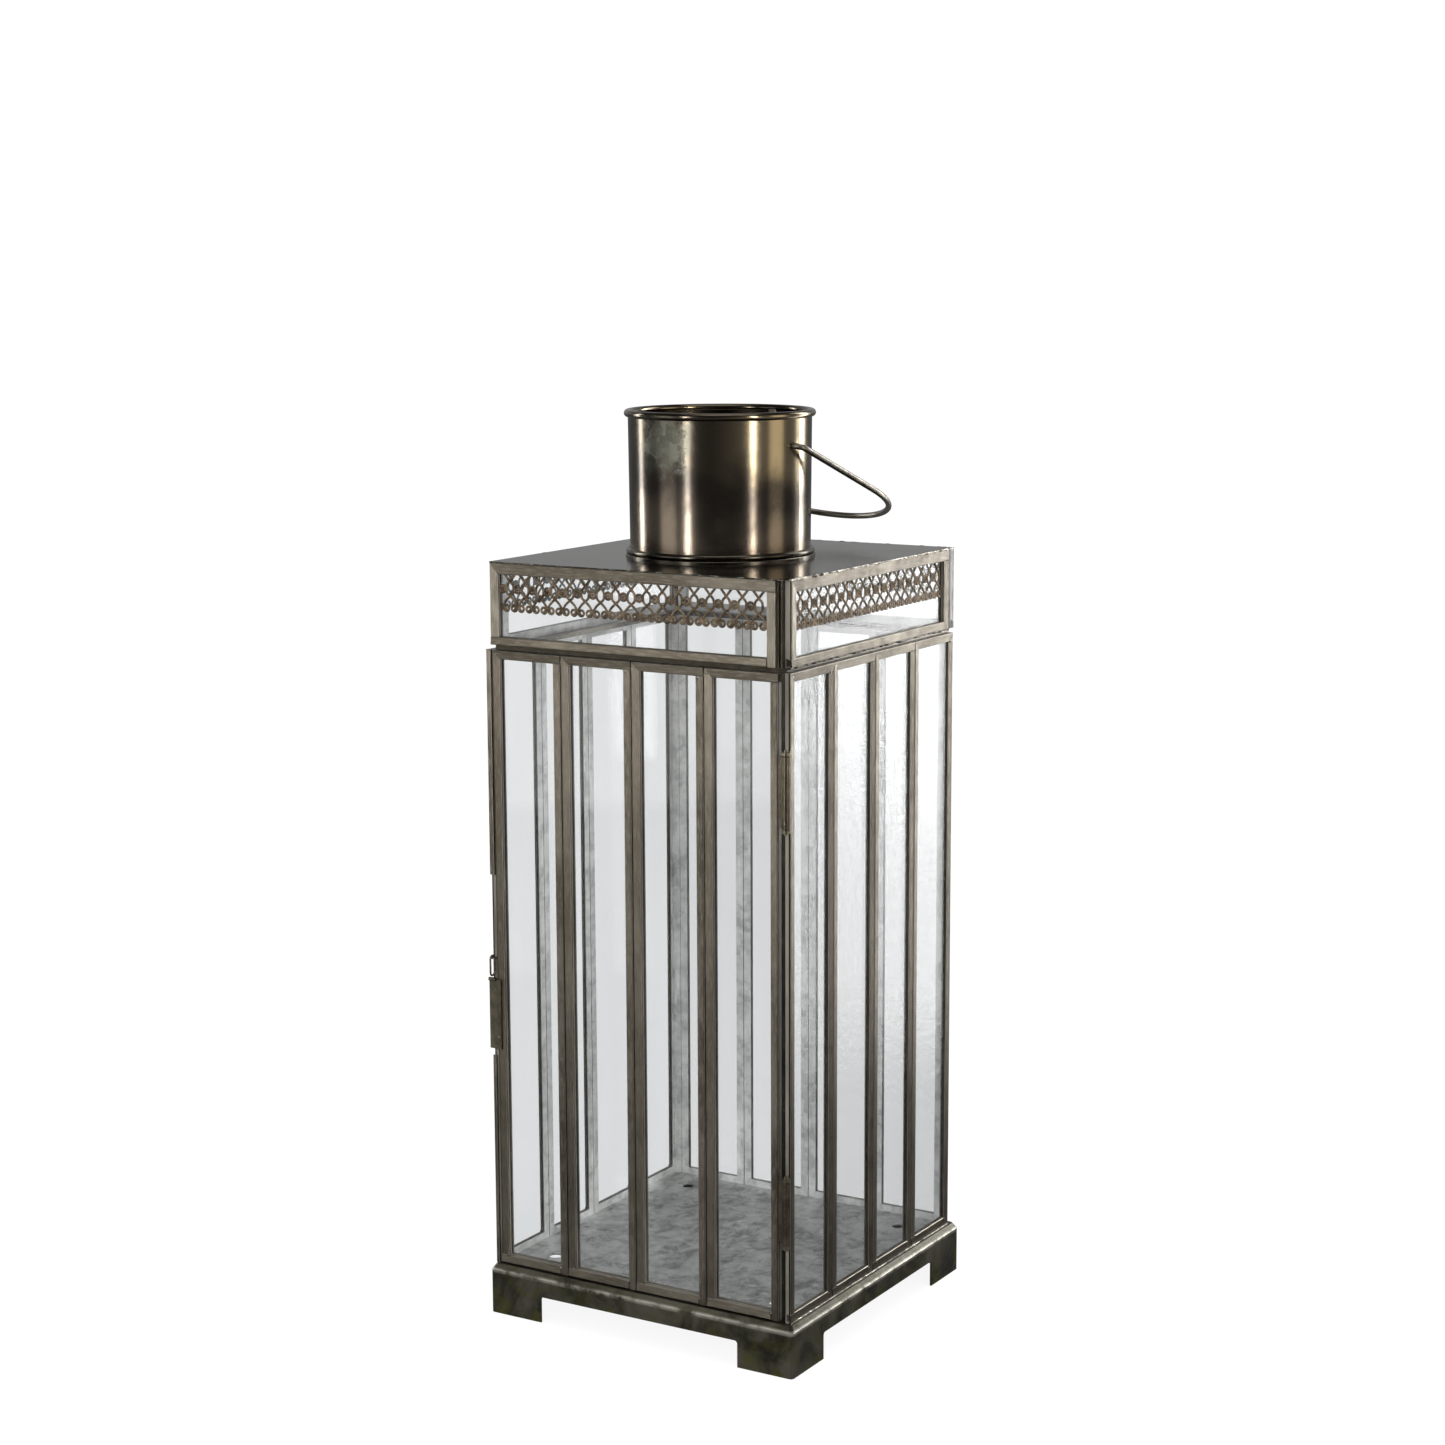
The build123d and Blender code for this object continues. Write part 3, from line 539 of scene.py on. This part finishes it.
def material_for(node):
    """The material that a CAD node is given."""
    side = next((name for name in OUTWARD if name in node), "front")
    side = LOOSE_CAMES.get(node, side)
    if node.endswith("_glass"):
        return MATERIALS[GLASS.get(side, "clear_glass")]
    if node.endswith(("_stiles", "_rails")) or node in LOOSE_CAMES:
        return came_brass(node, OUTWARD[side])
    return MATERIALS[FINISHES.get(node, "wire")]


def dress(node):
    """Give a CAD node its material, on every face."""
    mesh = NODES[node].data
    mesh.materials.clear()
    mesh.materials.append(material_for(node))


# ---- Mesh pieces --------------------------------------------------------------------------

SHARP_ANGLE = radians(60)


def piece(name, mesh_maker, material, body, slot):
    """A mesh object built by mesh_maker(bm) in the row frame, riding on its body."""
    bm = bmesh.new()
    mesh_maker(bm)
    bmesh.ops.recalc_face_normals(bm, faces=bm.faces)
    mesh = bpy.data.meshes.new(name)
    bm.to_mesh(mesh)
    bm.free()
    mesh.materials.append(material)
    mesh.polygons.foreach_set("use_smooth", [True] * len(mesh.polygons))
    mesh.set_sharp_from_angle(angle=SHARP_ANGLE)
    made = bpy.data.objects.new(name, mesh)
    bpy.context.scene.collection.objects.link(made)
    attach(made, body)
    return made


def loft(bm, rings, closed=False):
    """Skin a list of vertex rings. An open one gets a cap at each end."""
    count = len(rings[0])
    pairs = list(zip(rings, rings[1:]))
    if closed:
        pairs.append((rings[-1], rings[0]))
    for one, two in pairs:
        for i in range(count):
            j = (i + 1) % count
            bm.faces.new((one[i], one[j], two[j], two[i]))
    if not closed:
        bm.faces.new(list(reversed(rings[0])))
        bm.faces.new(rings[-1])


def circle(count, first=0.0):
    """Unit vectors evenly round a circle, the first of them this share of a step along."""
    turns = [2 * pi * (i + first) / count for i in range(count)]
    return [Vector((cos(turn), sin(turn))) for turn in turns]


def curve_through(points, steps):
    """Catmull-Rom curve through 2-D points."""
    ends = [points[0], *points, points[-1]]
    path = []
    for a, b, c, d in zip(ends, ends[1:], ends[2:], ends[3:]):
        for i in range(steps):
            t = i / steps
            bend = (2 * a - 5 * b + 4 * c - d) * t * t + (3 * b - a - 3 * c + d) * t ** 3
            path.append(b + ((c - a) * t + bend) / 2)
    return path + [points[-1]]


# ---- Pierced gallery ----------------------------------------------------------------------

GALLERY_FIRST = 8.0 * MM  # from the strip's left end to its first crossing
GALLERY_LAST = 6.5 * MM  # from its last crossing to its right end
GALLERY_COLUMNS = 17
GALLERY_GAP = 0.05 * MM  # between the glass and the back of the strip
STRAND_HALF = 0.85 * MM
STRAND_HEIGHT = 0.70 * MM
STRAND_SECTION = 6
STRAND_SHORTEST = 4  # points; a shorter stretch is left out
# Millimetres to the right of the column's middle, and below the rail.
STRAND_KNOTS = ((-3.7, 0.0), (0, 4.3), (2.45, 7.1), (2.45, 11.4), (0, 13.7), (-3.0, 16.3), (-4.9, 18.9))
STRAND_STEPS = 6  # points from one knot to the next
SCROLL_CENTRE = Vector((-3.07, 21.15)) * MM
SCROLL_START = 2.05 * MM
SCROLL_END = 0.75 * MM
SCROLL_EVEN = 0.4  # share of the scroll before it starts to tighten
SCROLL_TURNS = 1.3
SCROLL_STEPS = 22
ROSETTE_DROP = 9.3 * MM
ROSETTE_RING = 2.25 * MM
ROSETTE_RIM = 0.80 * MM
ROSETTE_RISE = 1.15  # height of the rim, in half widths of it
ROSETTE_STEPS = 24
ROSETTE_MARGIN = 2 * MM  # from a rosette's middle to an end of the strip, at least
BOSS = 0.85 * MM
PETALS = 6
PETAL_RING = 1.42 * MM
PETAL_RADIUS = 0.62 * MM
PETAL_HEIGHT = 0.5 * MM
DOME_LEVELS = [level * pi / 7 for level in range(3)]  # angles up from the glass


def half_round(half, height):
    """Reach across and rise of the corners of a half-round section."""
    angles = [pi * k / (STRAND_SECTION - 1) for k in range(STRAND_SECTION)]
    return [(half * cos(angle), height * sin(angle)) for angle in angles]


def strand_path():
    """One strand of a column: in from the upper left, across to the hexagon's right side, back
    through the lower crossing, out to the left leg and round into its scroll. The second number
    is the drop below the rail."""
    path = curve_through([Vector(p) * MM for p in STRAND_KNOTS], STRAND_STEPS)
    for i in range(SCROLL_STEPS + 1):
        share = i / SCROLL_STEPS
        angle = pi - share * SCROLL_TURNS * 2 * pi
        tightened = max(0, share - SCROLL_EVEN) / (1 - SCROLL_EVEN)
        radius = SCROLL_START + (SCROLL_END - SCROLL_START) * tightened
        path.append(SCROLL_CENTRE + Vector((cos(angle), sin(angle))) * radius)
    return path


def strand(bm, path, put):
    """A half-round strand along a path, flat on the glass."""
    rings = []
    for i, here in enumerate(path):
        along = (path[min(i + 1, len(path) - 1)] - path[max(i - 1, 0)]).normalized()
        across = Vector((-along.y, along.x))
        ring = []
        for reach, rise in half_round(STRAND_HALF, STRAND_HEIGHT):
            spot = here + across * reach
            ring.append(bm.verts.new(put(spot.x, spot.y, rise)))
        rings.append(ring)
    loft(bm, rings)


def dome(bm, centre, radius, height, put, sides=10):
    """A low round boss, closed underneath."""
    rings = []
    for angle in DOME_LEVELS:
        reach, rise = radius * cos(angle), height * sin(angle)
        spots = [centre + out * reach for out in circle(sides)]
        rings.append([bm.verts.new(put(spot.x, spot.y, rise)) for spot in spots])
    loft(bm, rings)


def rosette(bm, centre, put):
    """A ring with a boss and petals inside it."""
    rings = []
    for out in circle(ROSETTE_STEPS):
        ring = []
        for reach, rise in half_round(ROSETTE_RIM, ROSETTE_RISE * ROSETTE_RIM):
            spot = centre + out * (ROSETTE_RING + reach)
            ring.append(bm.verts.new(put(spot.x, spot.y, rise)))
        rings.append(ring)
    loft(bm, rings, closed=True)
    dome(bm, centre, BOSS, BOSS, put)
    for out in circle(PETALS, first=0.5):
        dome(bm, centre + out * PETAL_RING, PETAL_RADIUS, PETAL_HEIGHT, put, sides=8)


def kept_runs(path, low, high):
    """The stretches of a path whose first number stays between low and high."""
    run = []
    for point in path:
        if low < point.x < high:
            run.append(point)
            continue
        if len(run) >= STRAND_SHORTEST:
            yield run
        run = []
    if len(run) >= STRAND_SHORTEST:
        yield run


def make_gallery(side, outward):
    """The stamped strip of one side of the head, in place of its plain CAD strip."""
    node = f"gallery_{side}"
    out = Vector(outward)
    right = UP.cross(out)
    left_end, right_end = extent(node, right)
    glass, _ = extent(node, out)
    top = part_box(node)[1].z
    width = right_end - left_end
    pitch = (width - GALLERY_FIRST - GALLERY_LAST) / (GALLERY_COLUMNS - 1)

    def put(along, drop, proud):
        return right * (left_end + along) + UP * (top - drop) + out * (glass + GALLERY_GAP + proud)

    def build(bm):
        path = strand_path()
        for column in range(-1, GALLERY_COLUMNS + 1):
            middle = GALLERY_FIRST + column * pitch
            for flip in (1, -1):
                placed = [Vector((middle + flip * p.x, p.y)) for p in path]
                for run in kept_runs(placed, STRAND_HALF, width - STRAND_HALF):
                    strand(bm, run, put)
            centre = Vector((middle + pitch / 2, ROSETTE_DROP))
            if ROSETTE_MARGIN < centre.x < width - ROSETTE_MARGIN:
                rosette(bm, centre, put)

    made = piece(f"{node}_filigree", build, gallery_brass(side, outward), BODIES[node], SLOTS[node])
    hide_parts(node)


# ---- Solder -------------------------------------------------------------------------------

SOLDER_SLOT = "came_brass"
SOLDER_SEED = 11
SOLDERED = {"door": "front", "right_wall": "right", "back_wall": "back", "left_wall": "left"}
BEAD_SIDES = 7
BEAD_STEP = 1.6 * MM
BEAD_END = 0.35  # the width at a bead's ends, as a share of its own
LUMPS_PER_METRE = 260
LUMP_DRIFT = 0.37  # further into the noise with each ring
LUMP_GAIN = 1.6
ROOF_BEADS = (0.28 * MM, 0.62 * MM, 0.4 * MM, 0.3 * MM)  # front, right, back, left
ROOF_BEAD_IN = 0.25 * MM  # inside the edge of the sheet
ROOF_BEAD_DROP = 0.35 * MM
FOOT_BEAD = 0.5 * MM
FOOT_BEAD_RIGHT = 0.55 * MM
FOOT_BEAD_OUT = 0.15 * MM  # outside the stiles
FOOT_BEAD_GAP = (3 * MM, 8 * MM, 10 * MM)  # short of the corners: front left, back right, back left
NECK_BEAD = 0.8 * MM
NECK_BEAD_DROP = 0.6 * MM
CAME_WIDTH = 5.7 * MM
BLOB_RADIUS = (0.7, 1.3)
BLOB_HEIGHT = 0.4 * MM
BLOB_SUNK = 0.35 * MM
BLOB_LENGTH = (0.8, 1.5)  # shares of the radius
BLOB_WIDTH = (0.6, 1.0)
BLOB_STRAY = 0.5  # millimetres, as are the radii
BLOB_UNEVEN = 0.18
BLOB_DETAIL = 2.3  # lumps across a blob, about
BLOB_SPREAD = 900  # how fast the noise changes from one blob's place to the next


def ragged_bead(bm, start, end, radius, seed, raggedness=0.9):
    """A run of solder with an uneven width along a straight joint."""
    along = (end - start).normalized()
    across = along.orthogonal().normalized()
    other = along.cross(across)
    count = max(3, int((end - start).length / BEAD_STEP))
    rings = []
    for i in range(count + 1):
        place = start.lerp(end, i / count)
        lump = noise.noise(Vector((place.length * LUMPS_PER_METRE, seed, i * LUMP_DRIFT)))
        swell = radius * (1 + raggedness * LUMP_GAIN * lump) * (BEAD_END if i in (0, count) else 1)
        ring = []
        for k in range(BEAD_SIDES):
            angle = 2 * pi * k / BEAD_SIDES
            ring.append(bm.verts.new(place + (across * cos(angle) + other * sin(angle)) * swell))
        rings.append(ring)
    loft(bm, rings)


def blob(bm, centre, out, radius, draw):
    """A small wiped lump of solder on a flat face."""
    made = bmesh.ops.create_icosphere(bm, subdivisions=2, radius=1.0)
    turn = out.to_track_quat("Z", "Y").to_matrix()
    spin = Matrix.Rotation(draw.uniform(0, pi), 3, "Z")
    long, wide = draw.uniform(*BLOB_LENGTH), draw.uniform(*BLOB_WIDTH)
    shape = turn @ spin @ Matrix.Diagonal((radius * long, radius * wide, BLOB_HEIGHT))
    for vert in made["verts"]:
        uneven = 1 + BLOB_UNEVEN * noise.noise(vert.co * BLOB_DETAIL + centre * BLOB_SPREAD)
        vert.co = centre + shape @ (vert.co * uneven)


def joint_blobs(node, outward, draw):
    """Solder lumps where the stiles of a wall meet its rails, on the outer face."""
    out = Vector(outward)
    right = UP.cross(out)
    left_end, right_end = extent(f"{node}_stiles", right)
    _, face = extent(f"{node}_stiles", out)
    low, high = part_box(f"{node}_rails")
    pitch = (right_end - left_end) / PANES

    def build(bm):
        for i in range(PANES):
            left_side, right_side = left_end + i * pitch, left_end + (i + 1) * pitch
            spots = (
                (left_side + 0.9 * CAME_WIDTH, low.z + CAME_WIDTH),
                (right_side - CAME_WIDTH, low.z + 0.75 * CAME_WIDTH),
                (left_side + 0.5 * CAME_WIDTH, high.z - 0.5 * CAME_WIDTH),
                (right_side - 0.6 * CAME_WIDTH, high.z - 1.05 * CAME_WIDTH),
            )
            for along, height in spots:
                along += draw.uniform(-BLOB_STRAY, BLOB_STRAY) * MM
                height += draw.uniform(-BLOB_STRAY, BLOB_STRAY) * MM
                centre = right * along + UP * height + out * (face - BLOB_SUNK)
                blob(bm, centre, out, draw.uniform(*BLOB_RADIUS) * MM, draw)

    return build


def level_square(half, height):
    """Corners of a level square round the lantern's middle: front left, front right, and on."""
    return [Vector((x * half, y * half, height)) for x, y in ((-1, -1), (1, -1), (1, 1), (-1, 1))]


def roof_beads(bm):
    """Beads along all four edges of the roof sheet."""
    _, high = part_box("roof_plate")
    corners = level_square(high.x - ROOF_BEAD_IN, high.z - ROOF_BEAD_DROP)
    for i, radius in enumerate(ROOF_BEADS):
        ragged_bead(bm, corners[i], corners[(i + 1) % 4], radius, seed=i + 1)


def foot_beads(bm):
    """Beads between the plinth and the right, left and back walls."""
    low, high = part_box("right_wall_stiles")
    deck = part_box("plinth")[1].z
    right = high.x + FOOT_BEAD_OUT
    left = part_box("left_wall_stiles")[0].x - FOOT_BEAD_OUT
    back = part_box("back_wall_stiles")[1].y + FOOT_BEAD_OUT
    front_gap, right_gap, left_gap = FOOT_BEAD_GAP
    right_front, right_back = Vector((right, low.y, deck)), Vector((right, high.y, deck))
    left_front, left_back = Vector((left, low.y + front_gap, deck)), Vector((left, high.y, deck))
    back_right = Vector((high.x - right_gap, back, deck))
    back_left = Vector((left + left_gap, back, deck))
    ragged_bead(bm, right_front, right_back, FOOT_BEAD_RIGHT, seed=7)
    ragged_bead(bm, left_front, left_back, FOOT_BEAD, seed=8)
    ragged_bead(bm, back_right, back_left, FOOT_BEAD, seed=9)


def neck_beads(bm):
    """Beads under the head, on every side but the door's."""
    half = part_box("neck_frame")[1].x
    corners = level_square(half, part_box("head_right_rails")[0].z - NECK_BEAD_DROP)
    for i in (1, 2, 3):
        ragged_bead(bm, corners[i], corners[(i + 1) % 4], NECK_BEAD, seed=19 + i, raggedness=0.8)


def make_solder():
    """Beads along the fixed joints and lumps at the ends of the cames."""
    piece("solder_roof_edge", roof_beads, MATERIALS["solder"], FIXED_BODY, SOLDER_SLOT)
    piece("solder_wall_foot", foot_beads, MATERIALS["solder"], FIXED_BODY, SOLDER_SLOT)
    piece("solder_neck", neck_beads, MATERIALS["post"], FIXED_BODY, SOLDER_SLOT)
    draw = random.Random(SOLDER_SEED)
    for node, side in SOLDERED.items():
        lumps = joint_blobs(node, OUTWARD[side], draw)
        piece(f"solder_{node}", lumps, MATERIALS["solder"], BODIES[f"{node}_stiles"], SOLDER_SLOT)


# ---- Chimney seam -------------------------------------------------------------------------

LAP_ANGLE = radians(84)
LAP_HALF = radians(3.2)
LAP_STEPS = 8
LAP_SHEET = 0.6 * MM
LAP_EDGE = 0.35  # the lap's thickness at its edges, as a share of the sheet's
LAP_FOOT = 0.5 * MM  # above the foot of the tube
LAP_DROP = 3 * MM  # below its rim
TUBE_INSIDE = 57.5 * MM
LAP_SUNK = 0.05 * MM


def make_chimney_seam():
    """The lapped seam of the tube, a strip standing proud of its inner wall."""
    low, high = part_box("chimney_tube")
    ring_low, ring_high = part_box("chimney_base_ring")
    centre = (ring_low + ring_high) / 2
    foot, top = low.z + LAP_FOOT, high.z - LAP_DROP
    outer = TUBE_INSIDE + LAP_SUNK

    def build(bm):
        rings = []
        for i in range(LAP_STEPS + 1):
            turn = LAP_ANGLE + LAP_HALF * (2 * i / LAP_STEPS - 1)
            out = Vector((cos(turn), sin(turn), 0))
            thin = outer - LAP_SHEET * (LAP_EDGE if i in (0, LAP_STEPS) else 1)
            ring = []
            for radius, height in ((outer, foot), (outer, top), (thin, top), (thin, foot)):
                ring.append(bm.verts.new(Vector((centre.x, centre.y, height)) + out * radius))
            rings.append(ring)
        loft(bm, rings)

    piece("chimney_seam", build, MATERIALS["wire"], FIXED_BODY, "roof_bronze")


# ---- Studio -------------------------------------------------------------------------------

CAMERA_AZIMUTH = 31.1  # degrees from -Y round to the camera's side
TARGET = Vector((0, 0, 0.36))
LIGHT_RANGE = 1.9
WHITE = (1, 1, 1)
FAINTLY_WARM = (1.0, 0.98, 0.95)
WARM = (1.0, 0.95, 0.90)
AMBER = (1.0, 0.90, 0.72)
WORLD_SEEN = 1.0
WORLD_LIGHT = 2.0  # as light on rough surfaces
MIRRORED_DARK = 0.06  # as shiny surfaces mirror it, all round
MIRRORED_BACKDROP = 0.38  # and as they mirror it behind the lantern
BACKDROP_EDGE = (0.45, 0.80)  # cosines of the angle from its middle between which it fades
FLOOR_HALF = 20.0
FLOOR_DROP = 0.05 * MM
FLOOR_GLOW = 0.10  # as light on the lantern and in what it mirrors
FLOOR_GLOW_SEEN = 0.90
FLOOR_PALE = 0.07
FLOOR_PALE_MIRRORED = 0.02


def toward(azimuth, elevation=0.0):
    """Unit vector to a light. Azimuth is measured from the camera's side, growing to its right."""
    turn, lift = radians(CAMERA_AZIMUTH + azimuth), radians(elevation)
    return Vector((sin(turn) * cos(lift), -cos(turn) * cos(lift), sin(lift)))


def softbox(name, azimuth, elevation, width, height, radiance, warmth=WHITE, distance=LIGHT_RANGE):
    """A rectangular lamp aimed at the lantern. Radiance is the brightness of its face."""
    data = bpy.data.lights.new(name, "AREA")
    data.shape = "RECTANGLE"
    data.size, data.size_y = width, height
    data.energy = radiance * pi * width * height
    data.color = warmth
    lamp = bpy.data.objects.new(name, data)
    lamp.location = TARGET + toward(azimuth, elevation) * distance
    lamp.rotation_mode = "QUATERNION"
    lamp.rotation_quaternion = (lamp.location - TARGET).to_track_quat("Z", "Y")
    lamp.visible_camera = False
    lamp.visible_transmission = False
    bpy.context.scene.collection.objects.link(lamp)
    return lamp


def make_world():
    """White all round to the eye and through glass; in reflections dark, with a pale backdrop."""
    world = bpy.data.worlds.new("studio")
    world.use_nodes = True
    nodes = NodeTree(world.node_tree)
    rays, seen = nodes.rays()
    behind = nodes.vector_math("DOT_PRODUCT", nodes.place["Generated"], -toward(0))
    mirrored = nodes.between(behind, *BACKDROP_EDGE, MIRRORED_DARK, MIRRORED_BACKDROP)
    unseen = nodes.blend(rays["Is Diffuse Ray"], mirrored, WORLD_LIGHT)
    background = world.node_tree.nodes["Background"].inputs
    nodes.put(background["Color"], (*WHITE, 1))
    nodes.put(background["Strength"], nodes.blend(seen, unseen, WORLD_SEEN))
    bpy.context.scene.world = world


def make_floor():
    """A plain pale floor that keeps a faint soft shadow, and looks dark in reflections."""
    bm = bmesh.new()
    bmesh.ops.create_grid(bm, x_segments=4, y_segments=4, size=FLOOR_HALF)
    mesh = bpy.data.meshes.new("floor")
    bm.to_mesh(mesh)
    bm.free()
    paint = Paint("pale_floor", Specular_IOR_Level=0.0, Emission_Color=(*WHITE, 1))
    rays, seen = paint.rays()
    paint.give("Emission Strength", paint.blend(seen, FLOOR_GLOW, FLOOR_GLOW_SEEN))
    pale = paint.blend(rays["Is Glossy Ray"], FLOOR_PALE, FLOOR_PALE_MIRRORED)
    mesh.materials.append(paint.done(pale, 1.0))
    floor = bpy.data.objects.new("floor", mesh)
    floor.location.z = -FLOOR_DROP
    bpy.context.scene.collection.objects.link(floor)


def make_studio():
    """White surroundings, tall softboxes on both sides, one overhead and a weak frontal fill."""
    bpy.context.scene.view_settings.view_transform = "Standard"
    make_world()
    make_floor()
    # Each has its azimuth and elevation in degrees, its width and height, and its radiance.
    softbox("key_left", -41, 6, 0.09, 1.5, 26.0)
    softbox("left_wall", -68, 0, 0.75, 1.6, 1.0, FAINTLY_WARM)
    softbox("key_right", 41, 6, 0.11, 1.5, 17.0, WARM)
    softbox("warm_right", 74, 6, 0.70, 1.5, 0.9, AMBER)
    softbox("rim_left", -116, 6, 0.20, 1.6, 13.0)
    softbox("rim_right", 122, 6, 0.22, 1.6, 10.0)
    softbox("panel_right", 118, 12, 0.22, 1.0, 2.5, distance=0.64)
    softbox("overhead", 20, 80, 1.4, 1.4, 1.2, distance=1.8)
    fill = softbox("fill", -12, 14, 1.2, 1.2, 3.0)
    fill.visible_glossy = False


# ---- The lantern --------------------------------------------------------------------------

make_camera()
for node_name in NODES:
    dress(node_name)
for side_name, side_outward in OUTWARD.items():
    make_gallery(side_name, side_outward)
make_solder()
make_chimney_seam()
make_studio()
